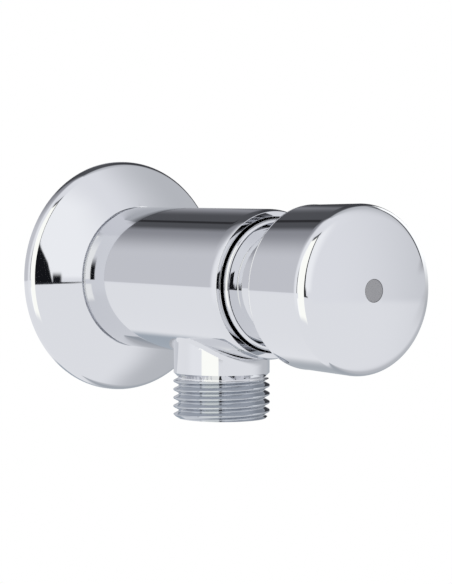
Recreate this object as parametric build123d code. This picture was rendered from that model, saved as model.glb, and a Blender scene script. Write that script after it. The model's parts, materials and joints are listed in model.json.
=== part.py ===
from build123d import *
import math
import os

# A self-closing urinal flush valve, in millimetres.
# The wall is the plane Y = 0 and the valve stands out of it towards -Y. Z is up and the outlet points down.
# The valve's parts are turned about the Y axis, so most sizes are a distance out from the wall or a radius.

# Inlet and outlet, both a G 1/2 pipe thread drawn at its full diameter
thread_radius = 20.955 / 2
inlet_into_wall = 13.0
inlet_thread_end = 5.0
inlet_relief_radius = 9.6
inlet_bore_radius = 6.2
strainer_bore_radius = 7.5
strainer_bore_end = 3.0
outlet_out = 38.67
outlet_drop = 29.5
outlet_bore_radius = 7.0
outlet_stub_radius = 10.4
outlet_stub_end = 19.6
outlet_relief_radius = 9.4
outlet_relief_end = 20.9
thread_chamfer = 0.9

# Body
body_radius = 15.9
body_back = 8.8
body_front = 57.3
body_back_rounding = 0.5
body_seat_radius = 14.9
bevel_length = 2.3
bevel_depth = 0.85
outlet_root_rounding = 2.5
mouth_radius = 14.3
mouth_floor = 51.7
bonnet_thread_radius = 13.0
cage_bore_radius = 12.3
cage_bore_front = 32.5
inlet_chamber_radius = 9.5
inlet_chamber_back = 12.5

# Wall plate, a pressed sheet with a rounded rim and a domed face
plate_radius = 26.15
plate_height = 8.0
plate_sheet = 0.8
plate_rim_height = 0.8
plate_rim_rounding = 2.5
plate_rim_slope = 37.0
plate_dome_end_radius = 16.0
plate_land_rounding = 0.6
plate_hole_radius = 10.8

# Press button and its stroke
stroke = 8.0
cap_radius = 17.27
cap_inner_radius = 15.5
cap_rim = 69.9
cap_top = 89.0
cap_dome_rise = 1.7
cap_edge_rounding = 3.1
cap_roof = 85.6
boss_radius = 6.2
boss_back = 82.6
boss_web = 1.0
spigot_length = 1.4
screw_radius = 1.25
screw_length = 8.0
plug_radius = 2.35
plug_seat = 87.4

# Bonnet, with the timing cylinder inside it
bonnet_back = 46.0
bonnet_relief_radius = 12.1
bonnet_relief_back = 51.2
flange_radius = 13.95
flange_back = 53.4
flange_front = 58.9
flange_rounding = 0.75
neck_radius = 12.5
neck_front = 74.2
cylinder_radius = 10.5
cylinder_front = 67.5
cage_spigot_radius = 11.2
cage_spigot_front = 49.5
gland_radius = 6.5
gland_back = 69.3
circlip_groove_back = 73.0
circlip_groove_depth = 0.5
circlip_thickness = 0.8

# Stem and what it carries
stem_radius = 4.0
stem_waist_radius = 3.0
stem_waist_front = 50.0
stem_tail_radius = 2.5
stem_tail_back = 17.0
stem_collar_radius = 4.2
stem_collar_length = 1.2
clip_groove_radius = 3.2
piston_back = 58.8
piston_flange = 1.6
piston_front = 63.5
piston_core_radius = 7.2
retainer_thickness = 0.8
clip_thickness = 0.8
slip_washer_thickness = 1.2

# Seat, cage and spring
seat_face = 26.5
cage_back = 27.0
seat_bore_radius = 6.0
seat_lip = 1.0
cage_floor = 30.4
cage_inner_radius = 9.4
cage_outer_radius = 11.8
window_width = 9.0
window_back = 33.0
window_front = 44.2
windows = 4
cage_ring_depth = 1.9
cage_ring_width = 2.2
disc_radius = 8.5
disc_rim = 0.7
disc_washer_thickness = 2.4
disc_holder_thickness = 3.2
nut_thickness = 3.0
nut_across_flats = 8.0
spring_wire_radius = 0.6
spring_radius = 7.7
spring_turns = 7

# Fits
slide_gap = 0.08
thread_gap = 0.05
ring_gap = 0.03


def on_axis(out, radius):
    """The drawing point of a place on a turned outline: its distance from the wall and its radius."""
    return (radius, -out)


def turned(*corners):
    """A solid turned about the Y axis. A corner is (distance from the wall, radius[, rounding])."""
    outline = make_face(Polyline(*[on_axis(c[0], c[1]) for c in corners], close=True))
    for out, radius, rounding in [c for c in corners if len(c) == 3]:
        corner = outline.vertices().sort_by_distance(on_axis(out, radius))[0]
        outline = fillet(corner, rounding)
    return revolve(outline, Axis.Y)


def tube(back, front, inner, outer):
    """A plain ring from one distance to another."""
    return turned((back, inner), (front, inner), (front, outer), (back, outer))


def rod(back, front, radius):
    """A plain round bar from one distance to another."""
    return turned((back, 0), (front, 0), (front, radius), (back, radius))


def o_ring(out, ring_radius, cord_radius):
    """A round rubber ring about the Y axis."""
    section = Plane.XY * Pos(*on_axis(out, ring_radius)) * Circle(cord_radius)
    return revolve(section, Axis.Y)


def around(shape, count, first=0.0):
    """Copies of a shape turned about the Y axis."""
    return [Rot(0, first + 360 * k / count, 0) * shape for k in range(count)]


def upright(*corners):
    """A solid turned about the outlet's upright axis. A corner is (radius, height)."""
    outline = make_face(Plane.XZ * Polyline(*corners, close=True))
    return Pos(0, -outlet_out, 0) * revolve(outline, Axis.Z)


def upright_bar(top, bottom, radius):
    """A round bar on the outlet's upright axis."""
    return upright((0, top), (radius, top), (radius, bottom), (0, bottom))


def plate_outline(depth):
    """The plate's face from the wall to the hole, this deep under the outer skin, as curves in order."""
    slope = math.radians(plate_rim_slope)
    rim_turn = 90 - plate_rim_slope
    rim_centre = (plate_rim_height, plate_radius - plate_rim_rounding)
    dome_start = (
        rim_centre[0] + plate_rim_rounding * math.cos(slope),
        rim_centre[1] + plate_rim_rounding * math.sin(slope),
    )
    # The dome is the arc that leaves the rim at its slope and ends at the land under the body's seat
    rise = plate_height - dome_start[0]
    run = dome_start[1] - plate_dome_end_radius
    dome_radius = (rise**2 + run**2) / (2 * (run * math.sin(slope) - rise * math.cos(slope)))
    centre = (
        dome_start[0] - dome_radius * math.cos(slope),
        dome_start[1] - dome_radius * math.sin(slope),
    )
    end_slope = math.acos((plate_height - depth - centre[0]) / (dome_radius - depth))
    rim_radius = plate_radius - depth
    wall_line = Line(on_axis(0, rim_radius), on_axis(plate_rim_height, rim_radius))
    rim_arc = CenterArc(on_axis(*rim_centre), plate_rim_rounding - depth, 0, -rim_turn)
    dome_turn = plate_rim_slope - math.degrees(end_slope)
    dome_arc = CenterArc(on_axis(*centre), dome_radius - depth, -rim_turn, -dome_turn)
    land_line = Line(dome_arc @ 1, on_axis(plate_height - depth, plate_hole_radius))
    return [wall_line, rim_arc, dome_arc, land_line]


def make_wall_plate():
    """The pressed sheet plate that hides the hole in the wall and is clamped under the body's seat."""
    outer = plate_outline(0)
    inner = plate_outline(plate_sheet)
    hole_line = Line(outer[-1] @ 1, inner[-1] @ 1)
    wall_edge = Line(outer[0] @ 0, inner[0] @ 0)
    section = make_face(outer + inner + [hole_line, wall_edge])
    for curves in (outer, inner):
        corner = section.vertices().sort_by_distance(curves[-1] @ 0)[0]
        section = fillet(corner, plate_land_rounding)
    return revolve(section, Axis.Y)


def make_valve_body():
    """The forged and turned body: barrel, inlet tail, outlet stub and the stepped bore for the cartridge."""
    barrel = turned(
        (plate_height, 0),
        (body_front, 0),
        (body_front, body_radius - bevel_depth),
        (body_front - bevel_length, body_radius),
        (body_back, body_radius, body_back_rounding),
        (body_back, body_seat_radius),
        (plate_height, body_seat_radius),
    )
    forging = barrel + upright_bar(0, -outlet_stub_end, outlet_stub_radius)
    root = [e for e in forging.edges() if e.geom_type not in (GeomType.CIRCLE, GeomType.LINE)]
    body = fillet(root, outlet_root_rounding)
    relief_depth = outlet_stub_radius - outlet_relief_radius
    body += upright(
        (0, -outlet_stub_end),
        (outlet_stub_radius, -outlet_stub_end),
        (outlet_relief_radius, -outlet_stub_end - relief_depth),
        (outlet_relief_radius, -outlet_relief_end),
        (thread_radius, -outlet_relief_end),
        (thread_radius, -outlet_drop + thread_chamfer),
        (thread_radius - thread_chamfer, -outlet_drop),
        (0, -outlet_drop),
    )
    body += turned(
        (-inlet_into_wall, 0),
        (body_back, 0),
        (body_back, inlet_relief_radius),
        (inlet_thread_end, inlet_relief_radius),
        (inlet_thread_end, thread_radius),
        (-inlet_into_wall + thread_chamfer, thread_radius),
        (-inlet_into_wall, thread_radius - thread_chamfer),
    )
    body -= turned(
        (-inlet_into_wall, 0),
        (-inlet_into_wall, strainer_bore_radius),
        (strainer_bore_end, strainer_bore_radius),
        (strainer_bore_end, inlet_bore_radius),
        (inlet_chamber_back, inlet_bore_radius),
        (inlet_chamber_back, inlet_chamber_radius),
        (cage_back, inlet_chamber_radius),
        (cage_back, cage_bore_radius),
        (cage_bore_front, cage_bore_radius),
        (cage_bore_front + bonnet_thread_radius - cage_bore_radius, bonnet_thread_radius),
        (mouth_floor, bonnet_thread_radius),
        (mouth_floor, mouth_radius),
        (body_front, mouth_radius),
        (body_front, 0),
    )
    return body - upright_bar(-bonnet_thread_radius / 2, -outlet_drop, outlet_bore_radius)


def make_bonnet():
    """The screwed-in front piece: collar in the mouth, neck under the cap, timing cylinder and gland."""
    bonnet = turned(
        (bonnet_back, cage_spigot_radius),
        (cage_spigot_front, cage_spigot_radius),
        (cage_spigot_front, cylinder_radius),
        (cylinder_front, cylinder_radius),
        (cylinder_front, stem_radius + slide_gap),
        (gland_back, stem_radius + slide_gap),
        (gland_back, gland_radius),
        (circlip_groove_back, gland_radius),
        (circlip_groove_back, gland_radius + circlip_groove_depth),
        (circlip_groove_back + circlip_thickness, gland_radius + circlip_groove_depth),
        (circlip_groove_back + circlip_thickness, gland_radius),
        (neck_front, gland_radius),
        (neck_front, neck_radius, 0.8),
        (flange_front, neck_radius),
        (flange_front, flange_radius, flange_rounding),
        (flange_back, flange_radius),
        (flange_back, bonnet_relief_radius),
        (bonnet_relief_back, bonnet_relief_radius),
        (bonnet_relief_back, bonnet_thread_radius - thread_gap),
        (bonnet_back, bonnet_thread_radius - thread_gap, 0.6),
    )
    # The calibrated groove through which the timing chamber empties
    groove_back = cage_spigot_front + 3
    groove_middle = (groove_back + cylinder_front) / 2
    groove = Pos(0, -groove_middle, cylinder_radius) * Box(1, cylinder_front - groove_back, 0.8)
    return bonnet - groove


def make_cage():
    """The cartridge cage: seat for the valve washer, sealing land in the body, and windows to the outlet."""
    ring_groove_back = cage_back + 1
    ring_groove_front = ring_groove_back + cage_ring_width
    land_radius = cage_bore_radius - slide_gap
    cage = turned(
        (cage_back, seat_bore_radius + seat_lip),
        (seat_face, seat_bore_radius + seat_lip),
        (seat_face, seat_bore_radius),
        (cage_floor, seat_bore_radius),
        (cage_floor, cage_inner_radius),
        (cage_spigot_front, cage_inner_radius),
        (cage_spigot_front, cage_spigot_radius),
        (bonnet_back, cage_spigot_radius),
        (bonnet_back, cage_outer_radius),
        (ring_groove_front + 1.2, cage_outer_radius),
        (ring_groove_front + 1.2, land_radius),
        (ring_groove_front, land_radius),
        (ring_groove_front, land_radius - cage_ring_depth),
        (ring_groove_back, land_radius - cage_ring_depth),
        (ring_groove_back, land_radius),
        (cage_back, land_radius),
    )
    length = window_front - window_back
    window_middle = window_back + length / 2
    window = Pos(0, -window_middle, -cage_outer_radius) * Box(window_width, length, cage_outer_radius)
    for opening in around(window, windows):
        cage -= opening
    return cage


def make_push_cap():
    """The hollow button with a domed face, and inside it the boss that sits on the stem."""
    dome_radius = (cap_radius**2 + cap_dome_rise**2) / (2 * cap_dome_rise)
    shell = turned(
        (cap_rim, 0),
        (cap_top + 1, 0),
        (cap_top + 1, cap_radius),
        (cap_rim, cap_radius, 0.4),
    )
    dome = Pos(0, -(cap_top - dome_radius), 0) * Sphere(dome_radius)
    shell &= dome
    crown = shell.edges().filter_by(GeomType.CIRCLE).sort_by(Axis.Y)[0]
    cap = fillet(crown, cap_edge_rounding)
    cap -= turned((cap_rim, 0), (cap_roof, 0), (cap_roof, cap_inner_radius, 1.5), (cap_rim, cap_inner_radius))
    cap += rod(boss_back, cap_roof + 0.5, boss_radius)
    spigot_top = boss_back + spigot_length
    cap -= rod(boss_back, spigot_top, stem_waist_radius)
    cap -= rod(spigot_top, spigot_top + boss_web, screw_radius + 0.15)
    cap -= rod(spigot_top + boss_web, cap_top, plug_radius)
    return cap


def make_stem():
    """The turned stem: tail for the valve disc, waist through the seat, guided length and cap spigot."""
    clip_back = piston_front + retainer_thickness
    spigot_top = boss_back + spigot_length
    screw_hole_back = spigot_top + boss_web - screw_length - 1
    stem = turned(
        (stem_tail_back, 0),
        (stem_tail_back, stem_tail_radius),
        (seat_face, stem_tail_radius),
        (seat_face, stem_collar_radius),
        (seat_face + stem_collar_length, stem_collar_radius),
        (seat_face + stem_collar_length, stem_waist_radius, 0.5),
        (stem_waist_front, stem_waist_radius),
        (stem_waist_front + 1, stem_radius),
        (clip_back, stem_radius),
        (clip_back, clip_groove_radius),
        (clip_back + clip_thickness, clip_groove_radius),
        (clip_back + clip_thickness, stem_radius),
        (boss_back, stem_radius),
        (boss_back, stem_waist_radius),
        (spigot_top, stem_waist_radius),
        (spigot_top, 0),
    )
    return stem - rod(screw_hole_back, spigot_top, screw_radius)


def make_piston():
    """The piston: a flange that the slip washer pushes on and a core for the cup seal."""
    bore = stem_radius
    return turned(
        (piston_back, bore),
        (piston_front, bore),
        (piston_front, piston_core_radius),
        (piston_back + piston_flange, piston_core_radius),
        (piston_back + piston_flange, cylinder_radius - 0.3),
        (piston_back, cylinder_radius - 0.3, 0.3),
    )


def make_piston_cup():
    """The rubber cup, whose open side faces the timing chamber so that it seals only on the way back."""
    back = piston_back + piston_flange
    lip = cylinder_radius - slide_gap
    return turned(
        (back, piston_core_radius),
        (piston_front, piston_core_radius),
        (piston_front, piston_core_radius + 0.8),
        (back + 1.3, piston_core_radius + 1.2),
        (back + 1.3, lip - 1.1),
        (piston_front, lip - 0.7),
        (piston_front, lip),
        (back + 1.2, cylinder_radius - 0.25),
        (back, cylinder_radius - 0.35),
    )


def open_ring(back, thickness, inner, outer, gap_width):
    """A flat spring ring with a gap at its top."""
    ring = tube(back, back + thickness, inner, outer)
    gap = Pos(0, -(back + thickness / 2), outer) * Box(gap_width, 2 * thickness, outer)
    return ring - gap


def make_disc_holder():
    """The brass cup behind the valve washer, with a raised rim that keeps the rubber round."""
    back = seat_face - disc_washer_thickness - disc_holder_thickness
    rubber_back = seat_face - disc_washer_thickness
    return turned(
        (back, stem_tail_radius),
        (rubber_back, stem_tail_radius),
        (rubber_back, disc_radius - disc_rim),
        (rubber_back + 1.2, disc_radius - disc_rim),
        (rubber_back + 1.2, disc_radius),
        (back + 1.5, disc_radius),
        (back, disc_radius - 2.5),
    )


def make_disc_nut():
    """The hexagon nut on the stem's tail."""
    front = seat_face - disc_washer_thickness - disc_holder_thickness
    corner_radius = nut_across_flats / 2 / math.cos(math.radians(30))
    hexagon = Plane(origin=(0, -front, 0), z_dir=(0, 1, 0)) * RegularPolygon(corner_radius, 6)
    return extrude(hexagon, nut_thickness) - rod(front - nut_thickness, front, stem_tail_radius)


def make_spring():
    """The return spring, at its length with the valve shut. Its wire is drawn with eight flats."""
    back = cage_floor + spring_wire_radius
    front = piston_back - slip_washer_thickness - spring_wire_radius
    length = front - back
    path = Helix(pitch=length / spring_turns, height=length, radius=spring_radius)
    start = Plane(origin=path @ 0, z_dir=path % 0)
    coil = sweep(start * RegularPolygon(spring_wire_radius, 8), path=path, is_frenet=True)
    return Pos(0, -back, 0) * Rot(90, 0, 0) * coil


def make_strainer():
    """The thimble strainer pushed into the inlet, with slots along its wall."""
    strainer = turned(
        (-12.4, 5.6),
        (-12.4, strainer_bore_radius),
        (-10.9, strainer_bore_radius),
        (-10.9, 6.4),
        (-4.0, 5.4),
        (-4.0, 0),
        (-4.8, 0),
        (-4.8, 4.7),
    )
    slot = Pos(0, 7.8, 5.5) * Box(1.2, 4.6, 3)
    for opening in around(slot, 10):
        strainer -= opening
    return strainer


def make_regulator_body():
    """The flow regulator: an outer ring, spokes and a fluted core for its rubber ring."""
    regulator = tube(-3.4, 2.6, 6.6, strainer_bore_radius)
    regulator += rod(-1.2, 2.6, 3.0)
    spoke = Pos(0, -1.8, 5.0) * Box(1.2, 1.6, 4.4)
    for arm in around(spoke, 4, 45):
        regulator += arm
    return regulator


def make_cap_screw():
    """The socket screw that holds the cap on the stem."""
    head_back = boss_back + spigot_length + boss_web
    head_front = plug_seat - 0.1
    screw = rod(head_back, head_front, plug_radius - 0.1)
    screw += rod(head_back - screw_length, head_back, screw_radius)
    hexagon = Plane(origin=(0, -head_front, 0), z_dir=(0, 1, 0)) * RegularPolygon(1.15, 6)
    return screw - extrude(hexagon, 1.2)


def make_cap_plug():
    """The grey plastic plug flush with the cap's face."""
    return turned(
        (plug_seat, 0),
        (plug_seat, plug_radius),
        (cap_top - 0.05, plug_radius, 0.12),
        (cap_top - 0.05, 0),
    )


parts = {
    "valve_body": make_valve_body(),
    "wall_plate": make_wall_plate(),
    "inlet_strainer": make_strainer(),
    "regulator_body": make_regulator_body(),
    "regulator_ring": o_ring(-2.4, 4.3, 1.1),
    "cartridge_cage": make_cage(),
    "cage_ring": o_ring(cage_back + 2.1, cage_bore_radius - ring_gap - 0.95, 0.95),
    "bonnet": make_bonnet(),
    "bonnet_ring": o_ring((mouth_floor + flange_back) / 2, 13.2, 0.83),
    "stem_seal": o_ring(gland_back + 1.25, 5.28, 1.2),
    "gland_bush": tube(
        gland_back + 2.5, circlip_groove_back, stem_radius + slide_gap, gland_radius - thread_gap
    ),
    "gland_circlip": open_ring(circlip_groove_back, circlip_thickness, 5.5, gland_radius + 0.45, 3.5),
    "return_spring": make_spring(),
    "slip_washer": tube(
        piston_back - slip_washer_thickness, piston_back, stem_radius + 0.1, cylinder_radius - 0.4
    ),
    "stem": make_stem(),
    "piston": make_piston(),
    "piston_cup": make_piston_cup(),
    "cup_retainer": tube(piston_front, piston_front + retainer_thickness, stem_radius, cylinder_radius - 0.8),
    "piston_clip": open_ring(piston_front + retainer_thickness, clip_thickness, clip_groove_radius, 6.0, 4.5),
    "disc_holder": make_disc_holder(),
    "disc_washer": tube(
        seat_face - disc_washer_thickness, seat_face, stem_tail_radius, disc_radius - disc_rim
    ),
    "disc_nut": make_disc_nut(),
    "push_cap": make_push_cap(),
    "cap_screw": make_cap_screw(),
    "cap_plug": make_cap_plug(),
}

os.makedirs("parts", exist_ok=True)
for name, shape in parts.items():
    export_step(shape, f"parts/{name}.step")
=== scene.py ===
import json
import math

import bpy
from mathutils import Matrix, Vector


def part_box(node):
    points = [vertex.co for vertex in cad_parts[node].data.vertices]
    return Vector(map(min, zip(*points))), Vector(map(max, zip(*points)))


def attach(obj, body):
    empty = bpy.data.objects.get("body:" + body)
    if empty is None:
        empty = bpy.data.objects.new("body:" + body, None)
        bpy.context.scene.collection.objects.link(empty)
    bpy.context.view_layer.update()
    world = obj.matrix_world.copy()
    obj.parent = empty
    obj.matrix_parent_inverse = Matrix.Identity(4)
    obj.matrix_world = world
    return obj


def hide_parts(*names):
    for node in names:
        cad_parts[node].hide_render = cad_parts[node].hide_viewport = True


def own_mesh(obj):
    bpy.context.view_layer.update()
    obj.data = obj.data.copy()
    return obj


# A chromed self-closing urinal flush valve. The wall is the plane Y = 0, the valve stands out of it
# towards -Y, Z is up and the outlet points down. Outlines are in millimetres: how far a point is out
# from the wall, and its radius about the valve's axis.

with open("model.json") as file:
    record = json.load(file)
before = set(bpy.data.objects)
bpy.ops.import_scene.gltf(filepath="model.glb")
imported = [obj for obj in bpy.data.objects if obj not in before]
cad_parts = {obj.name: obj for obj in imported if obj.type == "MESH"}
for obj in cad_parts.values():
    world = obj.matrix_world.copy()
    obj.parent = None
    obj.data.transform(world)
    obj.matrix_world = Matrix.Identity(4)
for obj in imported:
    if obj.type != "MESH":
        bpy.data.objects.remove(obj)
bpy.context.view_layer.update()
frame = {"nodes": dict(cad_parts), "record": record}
MM = 0.001


def turned_sizes(node):
    """A turned node's radius, and where its back and front are, out from the wall, in millimetres."""
    low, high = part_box(node)
    return high.x / MM, -high.y / MM, -low.y / MM


body_radius, tail_back, body_front = turned_sizes("valve_body")
plate_radius, _, plate_out = turned_sizes("wall_plate")
cap_radius, cap_rim, cap_top = turned_sizes("push_cap")
flange_radius, bonnet_back, neck_front = turned_sizes("bonnet")
plug_radius, plug_seat, plug_face = turned_sizes("cap_plug")
outlet_drop = -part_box("valve_body")[0].z / MM

# How finely round things are made, and how far apart points are that count as one, in metres
TURN_STEPS = 192
THREAD_STEPS = 128
THREAD_ARC_STEPS = 4
ARC_STEP = math.radians(3)
CAP_FACE_STEPS = 12
WIRE_SIDES = 12
SPRING_STEPS = 48
STAGE_STEPS = 96
SAME_POINT = 1e-7

# Shading: the sharpest edge that is still shaded smooth, and how strongly broad faces lead the normals
SMOOTH_EDGE = math.radians(25)
BODY_SMOOTH_EDGE = math.radians(18)
BROAD_FACE_WEIGHT = 90

# Wall plate
PLATE_SHEET = 0.8
PLATE_RIM_HEIGHT = 0.8
PLATE_RIM_ROUNDING = 2.5
PLATE_RIM_SLOPE = math.radians(35)
PLATE_DOME_END = 16.0
PLATE_HOLE_RADIUS = 10.8

# Body, whose front end sweeps gently inwards before a flat ring face. The CAD copy is cut at FRONT_CUT,
# at COLLAR_TOP on the outlet and at TAIL_CUT on the tail, and turned ends take over from there.
FRONT_CUT = 54.2
SWEEP_LENGTH = 2.4
SWEEP_RADIUS = 6.5
FACE_EDGE_ROUNDING = 0.12
MOUTH_RADIUS = 14.3
OUTLET_OUT = 38.67
STUB_RADIUS = 10.4
STUB_END = 19.6
STUB_RELIEF_RADIUS = 9.4
STUB_RELIEF_END = 20.9
STUB_CUT = 20.75
COLLAR_TOP = 18.4
ROOT_ROUNDING = 2.5
OUTLET_BORE_RADIUS = 7.0
TAIL_CUT = 5.6
TAIL_RELIEF_RADIUS = 9.6
TAIL_THREAD_END = 5.0
TAIL_BORE_RADIUS = 6.2
STRAINER_BORE_RADIUS = 7.5
STRAINER_BORE_END = 3.0

# How close to the body's exact form a point of its skin is, and how squarely its face looks outwards
SKIN_TOLERANCE = 0.06
ROOT_TOLERANCE = 3 * SKIN_TOLERANCE
CUT_TOLERANCE = 0.01
OUTWARD_FACING = 0.97

# G 1/2 pipe thread, 55 degrees, its depth and rounding the standard's shares of the pitch. A rounding
# reaches THREAD_ROUND_REACH to either side of its middle. The phase puts the crests on the outlet at the
# heights that the photograph shows. The thread's blank stands a little outside its crests.
THREAD_RADIUS = 20.955 / 2
THREAD_PITCH = 1.814
THREAD_DEPTH = 0.640327 * THREAD_PITCH
THREAD_ROUNDING = 0.137329 * THREAD_PITCH
THREAD_ROUND_REACH = math.radians(62.5)
THREAD_CHAMFER = 0.9
THREAD_PHASE = math.radians(91.8)
BLANK_RADIUS = THREAD_RADIUS + 0.05

# Bonnet. The neck is wider than its middle by the taper at its front and slimmer by it at its back,
# and the collar, which is the flange in the body's mouth, slims by its own taper towards its back.
BONNET_SPIGOT_RADIUS = 11.2
BONNET_SPIGOT_FRONT = 49.5
BONNET_THREAD_RADIUS = 12.95
BONNET_THREAD_FRONT = 51.2
BONNET_THREAD_ROUNDING = 0.6
BONNET_RELIEF_RADIUS = 12.1
FLANGE_BACK = 53.4
FLANGE_FRONT = 58.9
FLANGE_ROUNDING = 0.75
FLANGE_BACK_ROUNDING = 0.3
FLANGE_TAPER = 0.2
NECK_RADIUS = 12.5
NECK_TAPER = 0.25
NECK_FRONT_ROUNDING = 0.8
CYLINDER_RADIUS = 10.5
CYLINDER_FRONT = 67.5
STEM_BORE_RADIUS = 4.08
GLAND_BACK = 69.3
GLAND_RADIUS = 6.5
CIRCLIP_GROOVE_BACK = 73.0
CIRCLIP_GROOVE_FRONT = 73.8
CIRCLIP_GROOVE_RADIUS = 7.0

# Button. The rim's rounding is aimed at a point of the plug's hole, CAP_SIDE_AIM below the button's top.
CAP_INNER_RADIUS = 15.5
CAP_DOME_RISE = 1.7
CAP_EDGE_ROUNDING = 3.1
CAP_RIM_ROUNDING = 0.25
CAP_SIDE_AIM = 1.0
CAP_ROOF = 85.6
CAP_ROOF_ROUNDING = 1.5
BOSS_RADIUS = 6.2
BOSS_BACK = 82.6
SPIGOT_TOP = 84.0
SCREW_SEAT = 85.0
SPIGOT_RADIUS = 3.0
SCREW_HOLE_RADIUS = 1.4
PLUG_HOLE_RADIUS = 2.35
PLUG_GAP = 0.06
PLUG_EDGE_ROUNDING = 0.15

# Return spring
SPRING_BACK = 30.4
SPRING_RADIUS = 7.7
WIRE_RADIUS = 0.6
SPRING_TURNS = 7

# The photograph's camera: its aim in the valve's frame, its direction and distance, and its framing in
# the photograph's pixels
PHOTO_SIZE = (452, 584)
CAMERA_AIM = (0, -43.133, 0)
CAMERA_AZIMUTH = math.radians(-37.216)
CAMERA_ELEVATION = math.radians(2.524)
CAMERA_ROLL = math.radians(0.122)
CAMERA_DISTANCE = 470.266
FOCAL_PIXELS = 2188.877
AIM_OFFSET_PIXELS = (8.271, 9.579)
SENSOR = 36.0
NEAREST_SEEN = 10

# The light tent, in millimetres, and how much brighter its fabric is than the white that the metal shows
TENT_MIDDLE = (0, -45, 0)
TENT_RADIUS = 450
STUDIO_LEVEL = 1.28
FLOOR_HEIGHT = -310
FLOOR_RADIUS = 320

# A steep line cuts off the table's dark edge on the right. It crosses elevation 0 at this azimuth and
# rises by the steepness for each degree to the left. Its window is in degrees above the line.
TABLE_SIDE_AZIMUTH = -37.5
TABLE_SIDE_STEEPNESS = 6.0

# The lamp card: how far right, and its edges out from the wall and in height
CARD_RIGHT = 60
CARD_BACK = 45
CARD_FRONT = 130
CARD_BOTTOM = -20
CARD_TOP = 92

# The windows of the lamp and of its hood on the card: start, full, full end and end. Both lean, so one
# window is along Y less a share of the height. It ends at 300, past the card, which leaves that side open.
LAMP_LEAN = -0.6
LAMP_LEANING = (-112, -107, 300, 301)
LAMP_UPRIGHT = (-20, 14, 55, 64)
HOOD_LEANING = (-122, -117, 300, 301)
HOOD_ALONG = (-130, -120, -75, -60)
HOOD_UPRIGHT = (2, 12, 76, 90)

# A Mix node's sockets for colours: share, below and above, and its mixed colour
MIX_SHARE, MIX_BELOW, MIX_ABOVE = 0, 6, 7
MIXED_COLOUR = 2

# Finishes, in millimetres: the haze's patches, a wave texture's repeat at scale 1, a tool mark's depth
HAZE_PATCH = 2.5
WAVE_REPEAT = 0.31
MARK_DEPTH = 0.004


# Outlines


def arc(centre, radius, start, end):
    """Points along a round stretch of an outline, from one angle to another. Angle 0 points away from
    the wall and a right angle points away from the valve's axis."""
    steps = max(2, math.ceil(abs(end - start) / ARC_STEP))
    angles = [start + (end - start) * k / steps for k in range(steps + 1)]
    return [(centre[0] + radius * math.cos(a), centre[1] + radius * math.sin(a)) for a in angles]


def rounded(*corners):
    """The points of an outline. A corner is (out, radius), or (out, radius, rounding) if it is rounded."""
    points = []
    for k, corner in enumerate(corners):
        here = Vector(corner[:2])
        if len(corner) == 2:
            points.append(tuple(here))
            continue
        before = (Vector(corners[k - 1][:2]) - here).normalized()
        after = (Vector(corners[(k + 1) % len(corners)][:2]) - here).normalized()
        half = before.angle(after) / 2
        middle = here + (before + after).normalized() * corner[2] / math.sin(half)
        start = here + before * corner[2] / math.tan(half) - middle
        end = here + after * corner[2] / math.tan(half) - middle
        turn = start.angle_signed(end)
        angle = math.atan2(start.y, start.x)
        points += arc(middle, corner[2], angle, angle - turn)
    return points


# Modelling


def deselect():
    if bpy.context.object and bpy.context.object.mode == "EDIT":
        bpy.ops.object.mode_set(mode="OBJECT")
    bpy.ops.object.select_all(action="DESELECT")


def pick(piece):
    """Makes a piece the only one selected."""
    deselect()
    piece.select_set(True)
    bpy.context.view_layer.objects.active = piece


def draw(name, points, closed=True):
    """A wire through points in metres, begun from a plane that is merged to one vertex."""
    deselect()
    bpy.ops.mesh.primitive_plane_add(size=MM)
    wire = bpy.context.object
    wire.name = name
    bpy.ops.object.mode_set(mode="EDIT")
    bpy.ops.mesh.merge(type="CENTER")
    bpy.ops.transform.translate(value=points[0])
    path = points[1:] + (points[:1] if closed else [])
    here = Vector(points[0])
    for point in path:
        step = Vector(point) - here
        bpy.ops.mesh.extrude_region_move(TRANSFORM_OT_translate={"value": step})
        here = Vector(point)
    bpy.ops.mesh.select_all(action="SELECT")
    bpy.ops.mesh.remove_doubles(threshold=SAME_POINT)
    return wire


def turn(name, outline, axis="Y"):
    """A solid turned from a closed outline, about the valve's axis or about the upright one."""
    if axis == "Y":
        points = [(radius * MM, -out * MM, 0) for out, radius in outline]
        direction = (0, 1, 0)
    else:
        points = [(radius * MM, 0, height * MM) for height, radius in outline]
        direction = (0, 0, 1)
    piece = draw(name, points)
    bpy.ops.mesh.select_all(action="SELECT")
    bpy.ops.mesh.spin(steps=TURN_STEPS, angle=2 * math.pi, center=(0, 0, 0), axis=direction)
    bpy.ops.mesh.select_all(action="SELECT")
    bpy.ops.mesh.remove_doubles(threshold=SAME_POINT)
    bpy.ops.mesh.normals_make_consistent(inside=False)
    bpy.ops.object.mode_set(mode="OBJECT")
    return piece


def apply_modifier(piece, kind, **settings):
    pick(piece)
    modifier = piece.modifiers.new(kind.title(), kind)
    for name, value in settings.items():
        setattr(modifier, name, value)
    bpy.ops.object.modifier_apply(modifier=modifier.name)


def smooth(piece):
    """Shades a piece smooth up to its edges, with broad faces' normals carried into small roundings."""
    pick(piece)
    bpy.ops.object.shade_smooth_by_angle(angle=SMOOTH_EDGE)
    apply_modifier(piece, "WEIGHTED_NORMAL", mode="FACE_AREA", weight=BROAD_FACE_WEIGHT, keep_sharp=True)


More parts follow.
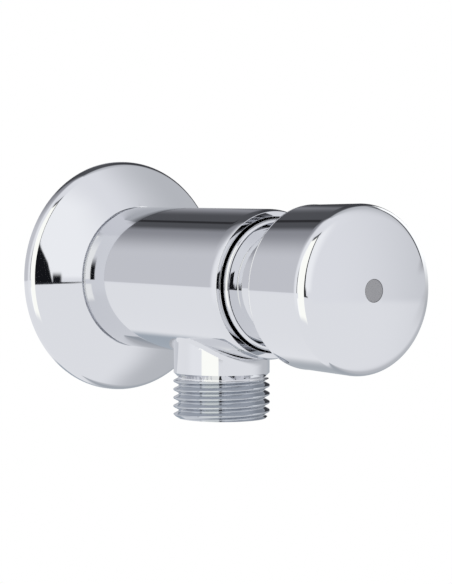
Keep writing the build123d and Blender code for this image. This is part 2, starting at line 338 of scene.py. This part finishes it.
def pipe_thread(name, bottom, top):
    """A threaded bar on the Z axis from one height to another, right-handed, with rounded crests and
    roots. The middle of a crest is at height 0 on the side that THREAD_PHASE gives."""
    angles = [THREAD_ROUND_REACH * k / THREAD_ARC_STEPS for k in range(THREAD_ARC_STEPS + 1)]
    crest_middle = THREAD_RADIUS - THREAD_ROUNDING
    root_middle = THREAD_RADIUS - THREAD_DEPTH + THREAD_ROUNDING
    half = [(crest_middle + THREAD_ROUNDING * math.cos(a), THREAD_ROUNDING * math.sin(a)) for a in angles]
    half += [(root_middle - THREAD_ROUNDING * math.cos(a), THREAD_PITCH / 2 - THREAD_ROUNDING * math.sin(a))
             for a in reversed(angles)]
    other = [(radius, THREAD_PITCH - height) for radius, height in reversed(half[:-1])]
    first_turn = math.floor(bottom / THREAD_PITCH) - 1
    turns = math.ceil(top / THREAD_PITCH) + 1 - first_turn
    start = first_turn * THREAD_PITCH
    points = [(radius * MM, 0, (start + height) * MM) for radius, height in half + other]
    bar = draw(name, points, closed=False)
    bpy.ops.object.mode_set(mode="OBJECT")
    apply_modifier(bar, "SCREW", axis="Z", angle=2 * math.pi, screw_offset=THREAD_PITCH * MM,
                   iterations=turns, steps=THREAD_STEPS, render_steps=THREAD_STEPS,
                   use_merge_vertices=True, merge_threshold=SAME_POINT, use_smooth_shade=False)
    bpy.ops.object.mode_set(mode="EDIT")
    bpy.ops.mesh.select_all(action="SELECT")
    bpy.ops.mesh.remove_doubles(threshold=SAME_POINT)
    bpy.ops.mesh.fill_holes(sides=0)
    bpy.ops.mesh.select_all(action="SELECT")
    bpy.ops.mesh.normals_make_consistent(inside=False)
    bpy.ops.transform.rotate(value=-THREAD_PHASE, orient_axis="Z", center_override=(0, 0, 0))
    bpy.ops.object.mode_set(mode="OBJECT")
    return bar


def threaded_end(name, blank, bottom, top):
    """A turned blank with the pipe thread cut on it."""
    bar = pipe_thread(name + "_bar", bottom, top)
    piece = turn(name, blank, axis="Z")
    apply_modifier(piece, "BOOLEAN", operation="INTERSECT", object=bar, solver="EXACT")
    bpy.data.objects.remove(bar)
    return piece


def place(piece, matrix):
    """Moves a piece to its place and leaves its object at the origin."""
    piece.matrix_world = matrix
    pick(piece)
    bpy.ops.object.transform_apply(location=True, rotation=True, scale=True)


def cut_off(piece, point, direction):
    """Cuts away what lies past a plane and closes the cut."""
    pick(piece)
    bpy.ops.object.mode_set(mode="EDIT")
    bpy.ops.mesh.select_all(action="SELECT")
    bpy.ops.mesh.bisect(plane_co=point, plane_no=direction, use_fill=True, clear_outer=True,
                        threshold=SAME_POINT)
    bpy.ops.object.mode_set(mode="OBJECT")


# Pieces


def make_wall_plate():
    """The pressed sheet plate: a rounded rim, a domed face and a flat land with the hole."""
    def skin(depth):
        slope = PLATE_RIM_SLOPE
        rim = (PLATE_RIM_HEIGHT, plate_radius - PLATE_RIM_ROUNDING)
        start = Vector(rim) + PLATE_RIM_ROUNDING * Vector((math.cos(slope), math.sin(slope)))
        rise = plate_out - start.x
        run = start.y - PLATE_DOME_END
        dome = (rise**2 + run**2) / (2 * (run * math.sin(slope) - rise * math.cos(slope)))
        middle = start - dome * Vector((math.cos(slope), math.sin(slope)))
        end_slope = math.acos((plate_out - middle.x) / dome)
        points = [(0, plate_radius - depth)]
        points += arc(rim, PLATE_RIM_ROUNDING - depth, math.pi / 2, slope)
        points += arc(middle, dome - depth, slope, end_slope)[1:]
        points.append((plate_out - depth, PLATE_HOLE_RADIUS))
        return points

    return turn("wall_plate_shell", skin(0) + skin(PLATE_SHEET)[::-1])


def make_bonnet():
    """The screwed-in front piece: collar in the body's mouth, neck behind the button, gland bore."""
    return turn("bonnet_shell", rounded(
        (bonnet_back, BONNET_SPIGOT_RADIUS),
        (BONNET_SPIGOT_FRONT, BONNET_SPIGOT_RADIUS),
        (BONNET_SPIGOT_FRONT, CYLINDER_RADIUS),
        (CYLINDER_FRONT, CYLINDER_RADIUS),
        (CYLINDER_FRONT, STEM_BORE_RADIUS),
        (GLAND_BACK, STEM_BORE_RADIUS),
        (GLAND_BACK, GLAND_RADIUS),
        (CIRCLIP_GROOVE_BACK, GLAND_RADIUS),
        (CIRCLIP_GROOVE_BACK, CIRCLIP_GROOVE_RADIUS),
        (CIRCLIP_GROOVE_FRONT, CIRCLIP_GROOVE_RADIUS),
        (CIRCLIP_GROOVE_FRONT, GLAND_RADIUS),
        (neck_front, GLAND_RADIUS),
        (neck_front, NECK_RADIUS + NECK_TAPER, NECK_FRONT_ROUNDING),
        (FLANGE_FRONT, NECK_RADIUS - NECK_TAPER),
        (FLANGE_FRONT, flange_radius, FLANGE_ROUNDING),
        (FLANGE_BACK, flange_radius - FLANGE_TAPER, FLANGE_BACK_ROUNDING),
        (FLANGE_BACK, BONNET_RELIEF_RADIUS),
        (BONNET_THREAD_FRONT, BONNET_RELIEF_RADIUS),
        (BONNET_THREAD_FRONT, BONNET_THREAD_RADIUS),
        (bonnet_back, BONNET_THREAD_RADIUS, BONNET_THREAD_ROUNDING),
    ))


def make_push_cap():
    """The hollow button: a slightly domed face, a rounded edge, and inside it the boss on the stem.
    The rim's rounding begins on the line to the outline's last point, so the side draws in slightly
    towards the rim."""
    dome = (cap_radius**2 + CAP_DOME_RISE**2) / (2 * CAP_DOME_RISE)
    dome_middle = cap_top - dome
    edge_slope = math.asin((cap_radius - CAP_EDGE_ROUNDING) / (dome - CAP_EDGE_ROUNDING))
    edge_middle = (dome_middle + (dome - CAP_EDGE_ROUNDING) * math.cos(edge_slope),
                   cap_radius - CAP_EDGE_ROUNDING)
    hole_slope = math.asin(PLUG_HOLE_RADIUS / dome)
    slopes = [hole_slope + (edge_slope - hole_slope) * k / CAP_FACE_STEPS for k in range(CAP_FACE_STEPS)]
    face = [(dome_middle + dome * math.cos(a), dome * math.sin(a)) for a in slopes]
    edge = arc(edge_middle, CAP_EDGE_ROUNDING, edge_slope, math.pi / 2)
    inside = rounded(
        (cap_rim, cap_radius, CAP_RIM_ROUNDING),
        (cap_rim, CAP_INNER_RADIUS),
        (CAP_ROOF, CAP_INNER_RADIUS, CAP_ROOF_ROUNDING),
        (CAP_ROOF, BOSS_RADIUS),
        (BOSS_BACK, BOSS_RADIUS),
        (BOSS_BACK, SPIGOT_RADIUS),
        (SPIGOT_TOP, SPIGOT_RADIUS),
        (SPIGOT_TOP, SCREW_HOLE_RADIUS),
        (SCREW_SEAT, SCREW_HOLE_RADIUS),
        (SCREW_SEAT, PLUG_HOLE_RADIUS),
        (cap_top - CAP_SIDE_AIM, PLUG_HOLE_RADIUS),
    )
    return turn("push_cap_shell", face + edge + inside)


def make_cap_plug():
    """The grey plug in the button's face, a hair lower than the face, with a softly rounded edge."""
    radius = plug_radius - PLUG_GAP
    return turn("grey_plug", rounded(
        (plug_seat, 0),
        (plug_face, 0),
        (plug_face, radius, PLUG_EDGE_ROUNDING),
        (plug_seat, radius),
    ))


def make_outlet_thread():
    """The outlet's threaded end, with the last of the relief above it."""
    blank = [(-outlet_drop, OUTLET_BORE_RADIUS), (-STUB_CUT, OUTLET_BORE_RADIUS),
             (-STUB_CUT, STUB_RELIEF_RADIUS), (-STUB_RELIEF_END, STUB_RELIEF_RADIUS),
             (-STUB_RELIEF_END, BLANK_RADIUS), (-outlet_drop + THREAD_CHAMFER, BLANK_RADIUS),
             (-outlet_drop, BLANK_RADIUS - THREAD_CHAMFER)]
    piece = threaded_end("outlet_thread", blank, -outlet_drop, -STUB_CUT)
    place(piece, Matrix.Translation((0, -OUTLET_OUT * MM, 0)))
    return piece


def make_inlet_thread():
    """The tail's thread, made upright with its end at the bottom and then laid along the valve's axis."""
    blank = [(tail_back, STRAINER_BORE_RADIUS), (STRAINER_BORE_END, STRAINER_BORE_RADIUS),
             (STRAINER_BORE_END, TAIL_BORE_RADIUS), (TAIL_CUT, TAIL_BORE_RADIUS),
             (TAIL_CUT, TAIL_RELIEF_RADIUS), (TAIL_THREAD_END, TAIL_RELIEF_RADIUS),
             (TAIL_THREAD_END, BLANK_RADIUS), (tail_back + THREAD_CHAMFER, BLANK_RADIUS),
             (tail_back, BLANK_RADIUS - THREAD_CHAMFER)]
    piece = threaded_end("inlet_thread", blank, tail_back, TAIL_CUT)
    place(piece, Matrix.Rotation(math.pi / 2, 4, "X"))
    return piece


def make_body_front():
    """The barrel's front end, with the sweep, the ring face and the mouth's wall."""
    middle = (body_front - SWEEP_LENGTH, body_radius - SWEEP_RADIUS)
    sweep = arc(middle, SWEEP_RADIUS, math.pi / 2, math.acos(SWEEP_LENGTH / SWEEP_RADIUS))
    front = turn("body_front", rounded(
        (FRONT_CUT, MOUTH_RADIUS),
        (FRONT_CUT, body_radius),
        *sweep[:-1],
        (*sweep[-1], FACE_EDGE_ROUNDING),
        (body_front, MOUTH_RADIUS, FACE_EDGE_ROUNDING),
    ))
    smooth(front)
    return front


def make_outlet_collar():
    """The outlet's plain end, with the slope down to the thread's relief."""
    slope_end = STUB_END + STUB_RADIUS - STUB_RELIEF_RADIUS
    collar = turn("outlet_collar", [
        (-COLLAR_TOP, OUTLET_BORE_RADIUS), (-COLLAR_TOP, STUB_RADIUS), (-STUB_END, STUB_RADIUS),
        (-slope_end, STUB_RELIEF_RADIUS), (-STUB_CUT, STUB_RELIEF_RADIUS),
        (-STUB_CUT, OUTLET_BORE_RADIUS),
    ], axis="Z")
    place(collar, Matrix.Translation((0, -OUTLET_OUT * MM, 0)))
    smooth(collar)
    return collar


def body_normal(point, facing):
    """The exact outward direction of the body's skin at a point, or None away from its main forms."""
    radial = Vector((point.x, 0, point.z))
    upright = Vector((point.x, point.y + OUTLET_OUT * MM, 0))
    tolerance = SKIN_TOLERANCE * MM
    behind_front = -point.y < (FRONT_CUT + CUT_TOLERANCE) * MM
    on_barrel = abs(radial.length - body_radius * MM) < tolerance and behind_front
    if on_barrel and facing.dot(radial.normalized()) > OUTWARD_FACING:
        return radial.normalized()
    on_stub = abs(upright.length - STUB_RADIUS * MM) < tolerance
    if on_stub and facing.dot(upright.normalized()) > OUTWARD_FACING:
        return upright.normalized()
    reach = (STUB_RADIUS + ROOT_ROUNDING) * MM
    if point.z < 0 and STUB_RADIUS * MM - tolerance < upright.length < reach + tolerance:
        around = upright.normalized() * reach
        height = -math.sqrt(((body_radius + ROOT_ROUNDING) * MM) ** 2 - around.x**2)
        middle = Vector((around.x, around.y - OUTLET_OUT * MM, height))
        outward = middle - point
        if abs(outward.length - ROOT_ROUNDING * MM) < ROOT_TOLERANCE * MM:
            return outward.normalized()
    return None


def make_body():
    """The body: a merged copy of the CAD solid with turned ends, two cut threads and exact normals."""
    pick(frame["nodes"]["valve_body"])
    bpy.ops.object.duplicate()
    body = bpy.context.object
    body.name = "valve_body_shell"
    # The copy is a piece of its own, so it drops the tags of the node
    for key in [k for k in body.keys() if k.startswith("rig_")]:
        del body[key]
    body.parent = None
    bpy.ops.object.mode_set(mode="EDIT")
    bpy.ops.mesh.select_all(action="SELECT")
    bpy.ops.mesh.remove_doubles(threshold=SAME_POINT)
    bpy.ops.object.mode_set(mode="OBJECT")
    cut_off(body, (0, 0, -COLLAR_TOP * MM), (0, 0, -1))
    cut_off(body, (0, -TAIL_CUT * MM, 0), (0, 1, 0))
    cut_off(body, (0, -FRONT_CUT * MM, 0), (0, -1, 0))
    ends = [make_outlet_thread(), make_inlet_thread()]
    pick(body)
    for end in ends:
        end.select_set(True)
    bpy.ops.object.join()
    bpy.ops.object.shade_smooth_by_angle(angle=BODY_SMOOTH_EDGE)
    turned_ends = [make_body_front(), make_outlet_collar()]
    pick(body)
    for end in turned_ends:
        end.select_set(True)
    bpy.ops.object.join()
    mesh = body.data
    normals = [Vector(corner.vector) for corner in mesh.corner_normals]
    for face in mesh.polygons:
        for corner in face.loop_indices:
            exact = body_normal(mesh.vertices[mesh.loops[corner].vertex_index].co, face.normal)
            if exact:
                normals[corner] = exact
    mesh.normals_split_custom_set(normals)
    return body


def make_spring():
    """The return spring, a round wire wound seven times."""
    back = SPRING_BACK + WIRE_RADIUS
    front = -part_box("slip_washer")[1].y / MM - WIRE_RADIUS
    rise = (front - back) / SPRING_TURNS
    deselect()
    bpy.ops.mesh.primitive_circle_add(vertices=WIRE_SIDES, radius=WIRE_RADIUS * MM,
                                      fill_type="NOTHING", location=(SPRING_RADIUS * MM, 0, 0),
                                      rotation=(math.pi / 2, 0, 0))
    spring = bpy.context.object
    spring.name = "spring_coil"
    bpy.ops.object.transform_apply(location=True, rotation=True, scale=True)
    apply_modifier(spring, "SCREW", axis="Z", angle=2 * math.pi, screw_offset=rise * MM,
                   iterations=SPRING_TURNS, steps=SPRING_STEPS, render_steps=SPRING_STEPS,
                   use_smooth_shade=True)
    bpy.ops.object.mode_set(mode="EDIT")
    bpy.ops.mesh.select_all(action="SELECT")
    bpy.ops.mesh.fill_holes(sides=0)
    bpy.ops.mesh.select_all(action="SELECT")
    bpy.ops.mesh.normals_make_consistent(inside=False)
    bpy.ops.object.mode_set(mode="OBJECT")
    place(spring, Matrix.Translation((0, -back * MM, 0)) @ Matrix.Rotation(math.pi / 2, 4, "X"))
    return spring


# Materials


def linear(colour):
    """An sRGB hex colour as linear red, green, blue and alpha."""
    channels = [int(colour[k:k + 2], 16) / 255 for k in (1, 3, 5)]
    return [c / 12.92 if c <= 0.04045 else ((c + 0.055) / 1.055) ** 2.4 for c in channels] + [1.0]


def add_node(tree, kind, inputs=None, **settings):
    """Adds a node with its settings. An input is a value, or the output socket that feeds it."""
    node = tree.nodes.new(kind)
    for name, value in settings.items():
        setattr(node, name, value)
    for name, value in (inputs or {}).items():
        if isinstance(value, bpy.types.NodeSocket):
            tree.links.new(value, node.inputs[name])
        else:
            node.inputs[name].default_value = value
    return node


def new_material(name, **inputs):
    """A material with one Principled shader, and the point on the piece in millimetres for its patterns."""
    material = bpy.data.materials.new(name)
    material.use_nodes = True
    tree = material.node_tree
    shader = tree.nodes["Principled BSDF"]
    for key, value in inputs.items():
        shader.inputs[key.replace("_", " ")].default_value = value
    place_on_piece = add_node(tree, "ShaderNodeTexCoord").outputs["Object"]
    point = add_node(tree, "ShaderNodeVectorMath", {0: place_on_piece, "Scale": 1 / MM}, operation="SCALE")
    return material, tree, shader, point.outputs[0]


def chrome(name, colour, wave_size, wave_height, shine=(0.02, 0.05)):
    """Bright nickel-chrome plate over buffed metal: a cool mirror, bent very slightly by the buffing's
    waves. Shine is the roughness of its clearest and haziest spots."""
    material, tree, shader, point = new_material(name, Base_Color=linear(colour), Metallic=1.0)
    waves = add_node(tree, "ShaderNodeTexNoise", {"Vector": point, "Scale": 1 / wave_size, "Detail": 1.0})
    bump = add_node(tree, "ShaderNodeBump", {"Height": waves.outputs[0], "Strength": 1.0,
                                             "Distance": wave_height * MM})
    tree.links.new(bump.outputs[0], shader.inputs["Normal"])
    haze = add_node(tree, "ShaderNodeTexNoise", {"Vector": point, "Scale": 1 / HAZE_PATCH, "Detail": 3.0})
    roughness = add_node(tree, "ShaderNodeMapRange", {"Value": haze.outputs[0], "To Min": shine[0],
                                                      "To Max": shine[1]})
    tree.links.new(roughness.outputs[0], shader.inputs["Roughness"])
    return material


def moulded(name, colour, roughness, grain_size, grain_height):
    """Moulded plastic or rubber: an even colour with a matt grain from the mould, which is drawn coarser
    than the real one, because that is too fine to show."""
    material, tree, shader, point = new_material(name, Base_Color=linear(colour), Roughness=roughness)
    grain = add_node(tree, "ShaderNodeTexNoise", {"Vector": point, "Scale": 1 / grain_size, "Detail": 2.0})
    bump = add_node(tree, "ShaderNodeBump", {"Height": grain.outputs[0], "Strength": 1.0,
                                             "Distance": grain_height * MM})
    tree.links.new(bump.outputs[0], shader.inputs["Normal"])
    return material


def machined(name, colour, roughness, feed):
    """Turned or drawn metal: rings of tool marks at the tool's feed, across the valve's axis."""
    material, tree, shader, point = new_material(name, Base_Color=linear(colour), Metallic=1.0,
                                                 Roughness=roughness)
    marks = add_node(tree, "ShaderNodeTexWave", {"Vector": point, "Scale": WAVE_REPEAT / feed,
                                                 "Distortion": 0.6, "Detail": 1.0}, bands_direction="Y")
    bump = add_node(tree, "ShaderNodeBump", {"Height": marks.outputs[1], "Strength": 1.0,
                                             "Distance": MARK_DEPTH * MM})
    tree.links.new(bump.outputs[0], shader.inputs["Normal"])
    return material


def new_light(name):
    """A material for a surface that only gives off light, and its tree with nothing but the output."""
    material = bpy.data.materials.new(name)
    material.use_nodes = True
    tree = material.node_tree
    tree.nodes.remove(tree.nodes["Principled BSDF"])
    material.cycles.emission_sampling = "NONE"
    return material, tree


def finish(piece, material):
    """Gives a piece one material all over."""
    piece.data.materials.clear()
    piece.data.materials.append(material)


def finish_threads(body, material):
    """Gives the body's two cut threads their own material."""
    body.data.materials.append(material)
    for face in body.data.polygons:
        if face.center.z < -STUB_RELIEF_END * MM or face.center.y > -TAIL_THREAD_END * MM:
            face.material_index = 1


# Studio


def add_camera():
    """The photograph's camera."""
    azimuth, elevation, roll = CAMERA_AZIMUTH, CAMERA_ELEVATION, CAMERA_ROLL
    back = Vector((math.sin(azimuth) * math.cos(elevation), -math.cos(azimuth) * math.cos(elevation),
                   math.sin(elevation)))
    right = Vector((math.cos(azimuth), math.sin(azimuth), 0))
    up = back.cross(right)
    turned_right = math.cos(roll) * right + math.sin(roll) * up
    turned_up = math.cos(roll) * up - math.sin(roll) * right
    data = bpy.data.cameras.new("photo_camera")
    data.sensor_width = SENSOR
    data.lens = FOCAL_PIXELS * SENSOR / max(PHOTO_SIZE)
    data.shift_x = -AIM_OFFSET_PIXELS[0] / max(PHOTO_SIZE)
    data.shift_y = -AIM_OFFSET_PIXELS[1] / max(PHOTO_SIZE)
    data.clip_start = NEAREST_SEEN * MM
    camera = bpy.data.objects.new("photo_camera", data)
    bpy.context.scene.collection.objects.link(camera)
    eye = (Vector(CAMERA_AIM) + back * CAMERA_DISTANCE) * MM
    turned = Matrix((turned_right, turned_up, back)).transposed().to_4x4()
    camera.matrix_world = Matrix.Translation(eye) @ turned
    bpy.context.scene.camera = camera


def window_mask(tree, *windows):
    """One inside every window, falling softly to zero. A window is (coordinate, start, full, full end,
    end)."""
    mask = None
    for coordinate, start, full, full_end, end in windows:
        for outside, inside in ((start, full), (end, full_end)):
            edge = add_node(tree, "ShaderNodeMapRange",
                            {"Value": coordinate, "From Min": outside, "From Max": inside},
                            interpolation_type="SMOOTHSTEP").outputs[0]
            if mask is None:
                mask = edge
            else:
                mask = add_node(tree, "ShaderNodeMath", {0: mask, 1: edge}, operation="MULTIPLY").outputs[0]
    return mask


def cover(tree, below, colour, *windows):
    """Lays a soft-edged panel over what is below it."""
    mask = window_mask(tree, *windows)
    mix = add_node(tree, "ShaderNodeMix", {MIX_SHARE: mask, MIX_BELOW: below, MIX_ABOVE: linear(colour)},
                   data_type="RGBA")
    return mix.outputs[MIXED_COLOUR]


def tent_directions(tree):
    """Where a point of the tent is, seen from its middle, in degrees: its azimuth, 0 straight out from the
    wall and positive to the right, its elevation, its clock angle about the valve's axis, 0 to the right
    and positive upwards, and how far it is from straight behind the wall."""
    point = add_node(tree, "ShaderNodeTexCoord").outputs["Object"]
    middle = [c * MM for c in TENT_MIDDLE]
    centred = add_node(tree, "ShaderNodeVectorMath", {0: point, 1: middle}, operation="SUBTRACT")
    unit = add_node(tree, "ShaderNodeVectorMath", {0: centred.outputs[0]}, operation="NORMALIZE")
    x, y, z = add_node(tree, "ShaderNodeSeparateXYZ", {0: unit.outputs[0]}).outputs
    out = add_node(tree, "ShaderNodeMath", {0: y, 1: -1.0}, operation="MULTIPLY").outputs[0]
    directions = []
    for operation, values in (("ARCTAN2", {0: x, 1: out}), ("ARCSINE", {0: z}), ("ARCTAN2", {0: z, 1: x}),
                              ("ARCCOSINE", {0: y})):
        angle = add_node(tree, "ShaderNodeMath", values, operation=operation).outputs[0]
        directions.append(add_node(tree, "ShaderNodeMath", {0: angle}, operation="DEGREES").outputs[0])
    return directions


def tent_material():
    """The light tent, which the metal mirrors: lit walls, the slit for the camera, dark gaps. A window's
    edge past the end of its scale, such as 181 or 92, leaves the panel open on that side."""
    material, tree = new_light("light_tent_fabric")
    azimuth, elevation, clock, from_wall = tent_directions(tree)
    from_side = add_node(tree, "ShaderNodeMath", {0: azimuth, 1: -TABLE_SIDE_AZIMUTH}, operation="ADD")
    table_side = add_node(tree, "ShaderNodeMath",
                          {0: from_side.outputs[0], 1: TABLE_SIDE_STEEPNESS, 2: elevation},
                          operation="MULTIPLY_ADD").outputs[0]
    near_floor = (elevation, -92, -91, -6, -4)
    lamp_edge = (azimuth, -95, -93.5, -84, -83)
    panels = (
        # The right side, which darkens towards the back, and the floor's end of the tent
        ("#b4b6ba", (azimuth, 20, 90, 181, 182)),
        ("#dcdde0", near_floor, (azimuth, -182, -181, 35, 80)),
        ("#dcdde0", near_floor, (azimuth, 140, 165, 181, 182)),
        ("#9fa4aa", near_floor, (azimuth, 90, 130, 145, 165)),
        # Behind the wall: grey on the left, darker above, dark over the right corner and below
        ("#bfc0c5", (from_wall, -2, -1, 50, 75), (elevation, -4, -3, 91, 92)),
        ("#85868c", (from_wall, -2, -1, 60, 80), (clock, -4, 25, 97, 140)),
        ("#4b4c50", (from_wall, -2, -1, 74, 86), (clock, 24, 56, 86, 98)),
        ("#2c2c2f", (from_wall, 30, 34, 42, 46), (clock, 71, 73, 76, 79)),
        ("#9aa2ab", (from_wall, -2, -1, 36, 40), (clock, -92, -76, -20, -8)),
        ("#3c3d41", (azimuth, 108, 118, 140, 146), (elevation, -3, 2, 50, 62)),
        # Front wall, left wall and its lamps
        ("#ebecee", (azimuth, -50, -40, -20, 20), (elevation, -4, 0, 45, 65)),
        ("#e2e3e6", (azimuth, -132, -108, -60, -50), (elevation, -30, -10, 57, 62)),
        ("#fdfdf6", (azimuth, -88, -84, -45.5, -44), (elevation, -36, -26, 55, 57)),
        ("#4c4d50", (azimuth, -92, -66, -38, -30), (elevation, 54.5, 56.5, 59, 62)),
        ("#fdfdfa", lamp_edge, (elevation, -4, -2, 32, 56)),
        ("#fdfdfa", lamp_edge, (elevation, -34, -26, -10, -8)),
        ("#141518", (azimuth, -98.5, -97.5, -94, -93), (elevation, -4, -3, 12, 30)),
        # The slit for the camera, the table's dark edge and what stands on it
        ("#303134", (azimuth, -45, -44, -39, -38), (elevation, -5, -4, 54, 57)),
        ("#141518", (azimuth, -45, -44, -33.5, -33), (table_side, -60, -59, 10, 14),
         (elevation, -6.7, -6.1, 20, 24)),
        ("#17181c", (azimuth, -35, -34, -30.5, -29), (elevation, -6.5, -5.9, -2, 3)),
        ("#26272b", (azimuth, -45, -44, -28, -14), (elevation, -6.5, -5.9, -5.4, -4.8)),
    )
    colour = add_node(tree, "ShaderNodeRGB").outputs[0]
    colour.default_value = linear("#dadbdf")
    for shade, *windows in panels:
        colour = cover(tree, colour, shade, *windows)
    emission = add_node(tree, "ShaderNodeEmission", {"Color": colour, "Strength": STUDIO_LEVEL})
    tree.links.new(emission.outputs[0], tree.nodes["Material Output"].inputs["Surface"])
    return material


def lamp_material():
    """Clear film with the lamp's bright window and its hood's dark grey, lit like the tent."""
    material, tree = new_light("lamp_and_hood")
    place_on_card = add_node(tree, "ShaderNodeTexCoord").outputs["Object"]
    point = add_node(tree, "ShaderNodeVectorMath", {0: place_on_card, "Scale": 1 / MM}, operation="SCALE")
    _, y, z = add_node(tree, "ShaderNodeSeparateXYZ", {0: point.outputs[0]}).outputs
    lean = add_node(tree, "ShaderNodeMath", {0: z, 1: LAMP_LEAN, 2: y}, operation="MULTIPLY_ADD").outputs[0]
    lamp = window_mask(tree, (lean, *LAMP_LEANING), (z, *LAMP_UPRIGHT))
    hood = window_mask(tree, (lean, *HOOD_LEANING), (y, *HOOD_ALONG), (z, *HOOD_UPRIGHT))
    glow = add_node(tree, "ShaderNodeMix",
                    {MIX_SHARE: lamp, MIX_BELOW: linear("#3a3b40"), MIX_ABOVE: linear("#fdfefe")},
                    data_type="RGBA").outputs[MIXED_COLOUR]
    emission = add_node(tree, "ShaderNodeEmission", {"Color": glow, "Strength": STUDIO_LEVEL})
    clear = add_node(tree, "ShaderNodeBsdfTransparent")
    solid = add_node(tree, "ShaderNodeMath", {0: lamp, 1: hood}, operation="MAXIMUM").outputs[0]
    film = add_node(tree, "ShaderNodeMixShader", {0: solid, 1: clear.outputs[0], 2: emission.outputs[0]})
    tree.links.new(film.outputs[0], tree.nodes["Material Output"].inputs["Surface"])
    return material


def add_lamp_card():
    """A clear film beside the button, with the lamp that lights its right edge and the lamp's hood."""
    deselect()
    bpy.ops.mesh.primitive_plane_add(size=MM)
    card = bpy.context.object
    card.name = "lamp_card"
    middle = (CARD_RIGHT, -(CARD_FRONT + CARD_BACK) / 2, (CARD_TOP + CARD_BOTTOM) / 2)
    upright = Matrix.Rotation(math.pi / 2, 4, "Y")
    size = Matrix.Diagonal((CARD_TOP - CARD_BOTTOM, CARD_FRONT - CARD_BACK, 1, 1))
    card.matrix_world = Matrix.Translation([c * MM for c in middle]) @ upright @ size
    bpy.ops.object.transform_apply(location=True, rotation=True, scale=True)
    finish(card, lamp_material())
    card.visible_camera = False
    card.visible_shadow = False
    card.visible_diffuse = False
    return card


def add_studio():
    """The light tent, which the camera doesn't see, a plain pale floor far below, and white all around."""
    middle = [c * MM for c in TENT_MIDDLE]
    deselect()
    bpy.ops.mesh.primitive_uv_sphere_add(segments=STAGE_STEPS, ring_count=STAGE_STEPS // 2,
                                         radius=TENT_RADIUS * MM, location=middle)
    tent = bpy.context.object
    tent.name = "light_tent"
    bpy.ops.object.transform_apply(location=True)
    finish(tent, tent_material())
    tent.visible_camera = False
    card = add_lamp_card()
    deselect()
    bpy.ops.mesh.primitive_circle_add(vertices=STAGE_STEPS, radius=FLOOR_RADIUS * MM, fill_type="NGON",
                                      location=(middle[0], middle[1], FLOOR_HEIGHT * MM))
    floor = bpy.context.object
    floor.name = "pale_floor"
    bpy.ops.object.transform_apply(location=True)
    finish(floor, new_material("pale_floor_paper", Base_Color=linear("#f6f6f8"), Roughness=0.9)[0])
    floor.visible_glossy = False
    world = bpy.data.worlds.new("white_surround")
    world.use_nodes = True
    background = world.node_tree.nodes["Background"]
    background.inputs["Color"].default_value = (1, 1, 1, 1)
    background.inputs["Strength"].default_value = 1.0
    bpy.context.scene.world = world


# Assembly

# Buffed forging under bright plate: a clear, cool mirror with soft waves
chromed_body = chrome("nickel_chrome_on_forged_brass", "#e2e3e6", wave_size=7.0, wave_height=0.006)
# A cut thread isn't buffed and takes a thin plate: greyer, and hazy enough to soften what it mirrors
chromed_thread = chrome("thin_nickel_chrome_on_cut_thread", "#c4c8ce", wave_size=7.0, wave_height=0.002,
                        shine=(0.06, 0.1))
# Pressed sheet gives a little under the buff: the broadest waves
chromed_plate = chrome("nickel_chrome_on_pressed_sheet", "#e2e3e6", wave_size=9.0, wave_height=0.008)
# Turned and buffed: the flattest of the clear mirrors
chromed_cap = chrome("nickel_chrome_on_turned_brass", "#e2e3e6", wave_size=8.0, wave_height=0.005)
# Moulded plastic: an even mid grey with a weak, broad shine
grey_plastic = moulded("grey_moulded_plastic", "#98989b", roughness=0.5,
                       grain_size=0.3, grain_height=0.004)
# Moulded nitrile rubber: near black and dull
black_rubber = moulded("black_nitrile_rubber", "#141415", roughness=0.6,
                       grain_size=0.3, grain_height=0.02)
# Moulded acetal: creamy white with a waxy shine
acetal = moulded("white_acetal", "#e4e3dd", roughness=0.35,
                 grain_size=0.4, grain_height=0.005)
# Moulded plastic of the strainer: dark blue-grey with a soft shine
strainer_plastic = moulded("blue_grey_strainer_plastic", "#3d4a5c", roughness=0.4,
                           grain_size=0.4, grain_height=0.005)
# Turned brass: warm yellow, its shine spread by the tool's rings
turned_brass = machined("turned_brass", "#d9b77a", roughness=0.22, feed=0.12)
# Drawn or turned stainless steel: a neutral grey shine, spread by finer rings
stainless = machined("stainless_steel", "#c9c8c6", roughness=0.28, feed=0.08)

replaced = {
    "valve_body": (make_body(), "root", chromed_body, "chromed_body"),
    "wall_plate": (make_wall_plate(), "root", chromed_plate, "chromed_plate"),
    "bonnet": (make_bonnet(), "root", chromed_body, "chromed_body"),
    "return_spring": (make_spring(), "root", stainless, "stainless_steel"),
    "push_cap": (make_push_cap(), "button", chromed_cap, "chromed_cap"),
    "cap_plug": (make_cap_plug(), "button", grey_plastic, "grey_plastic"),
}
for node, (piece, body, material, slot) in replaced.items():
    if node in ("wall_plate", "bonnet", "push_cap", "cap_plug"):
        smooth(piece)
    finish(piece, material)
    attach(piece, body)
    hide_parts(node)
finish_threads(replaced["valve_body"][0], chromed_thread)
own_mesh(replaced["return_spring"][0])

slot_materials = {
    "chromed_body": chromed_body,
    "chromed_plate": chromed_plate,
    "chromed_cap": chromed_cap,
    "grey_plastic": grey_plastic,
    "turned_brass": turned_brass,
    "stainless_steel": stainless,
    "nitrile_rubber": black_rubber,
    "acetal": acetal,
    "strainer_plastic": strainer_plastic,
}
for entry in frame["record"]["subparts"]:
    finish(frame["nodes"][entry["node"]], slot_materials[entry["material_slot"]])

add_studio()
add_camera()
bpy.context.scene.view_settings.view_transform = "Standard"
